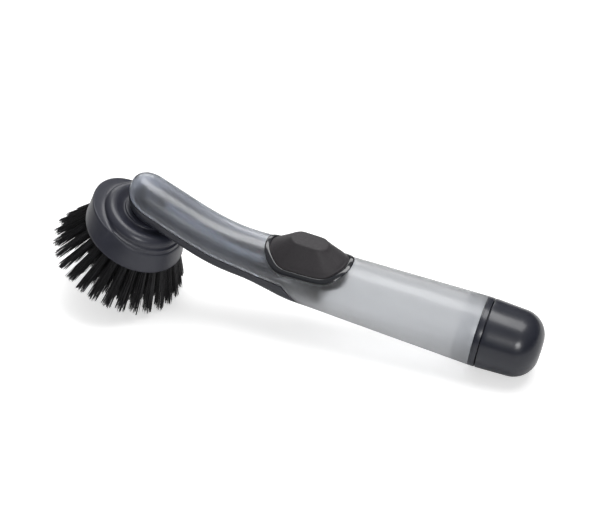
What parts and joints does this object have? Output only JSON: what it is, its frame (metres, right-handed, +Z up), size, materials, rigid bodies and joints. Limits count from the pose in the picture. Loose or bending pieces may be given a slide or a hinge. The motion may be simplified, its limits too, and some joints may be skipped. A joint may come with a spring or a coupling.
{
  "type": "dish wand",
  "caption": "Soap-filled dish brush: clear tubular grip with a press button pump, a bent neck, a screw cap and a round flared nylon brush head that pulls off.",
  "frame": {"origin": "middle of the footprint, on the surface the wand rests on", "axes": "+X from the brush head to the cap, +Z up, +Y across the wand; the wand is symmetric about the XZ plane"},
  "size_m": [0.2611, 0.074, 0.0744],
  "materials": {
    "clear_shell": "see-through, smoke grey, glossy on the neck and finely frosted on the grip",
    "dark_plastic": "satin, dark grey",
    "gloss_trim": "glossy, near black",
    "soft_grey": "soft touch, warm dark grey",
    "black_seal": "smooth black rubber",
    "pale_valve": "milky silicone",
    "cap_plastic": "semi-gloss, blue-black",
    "head_plastic": "satin, dark grey",
    "black_nylon": "black nylon filament"
  },
  "bodies": {
    "wand": {"body_shell": "clear_shell", "neck_base": "dark_plastic", "button_ring": "gloss_trim", "pump_housing": "dark_plastic", "housing_seal": "black_seal", "pump_bellows": "black_seal", "inlet_valve": "pale_valve", "outlet_valve": "pale_valve", "delivery_tube": "pale_valve", "nozzle_elbow": "dark_plastic", "nozzle_valve": "pale_valve", "valve_retainer": "dark_plastic", "spigot_seal": "black_seal", "mouth_collar": "cap_plastic"},
    "button": {"button_skin": "soft_grey", "button_core": "dark_plastic"},
    "cap_washer": {"cap_seal": "black_seal"},
    "cap": {"end_cap": "cap_plastic"},
    "head": {"head_shell": "head_plastic", "bristle_plate": "head_plastic", "bristles_outer": "black_nylon", "bristles_second": "black_nylon", "bristles_third": "black_nylon", "bristles_inner": "black_nylon"}
  },
  "joints": [
    {"name": "button_press", "type": "slide", "parent": "wand", "child": "button", "axis": [-0.1386, 0, -0.9903], "range_m": [0, 0.0035], "stiffness_N_per_m": 900, "deforming": ["button_skin", "pump_bellows"]},
    {"name": "cap_travel", "type": "slide", "parent": "wand", "child": "cap_washer", "axis": [0.9903, 0, -0.1386], "range_m": [0, 0.009]},
    {"name": "cap_turn", "type": "hinge", "parent": "cap_washer", "child": "cap", "pos_m": [0.10613, 0, 0.01878], "axis": [0.9903, 0, -0.1386], "range_deg": [0, 1080]},
    {"name": "head_pull", "type": "slide", "parent": "wand", "child": "head", "axis": [-0.4535, 0, -0.8913], "range_m": [0, 0.016]}
  ],
  "couplings": [
    {"joint": "cap_turn", "follows": "cap_travel", "rad_per_m": 2094.4}
  ]
}
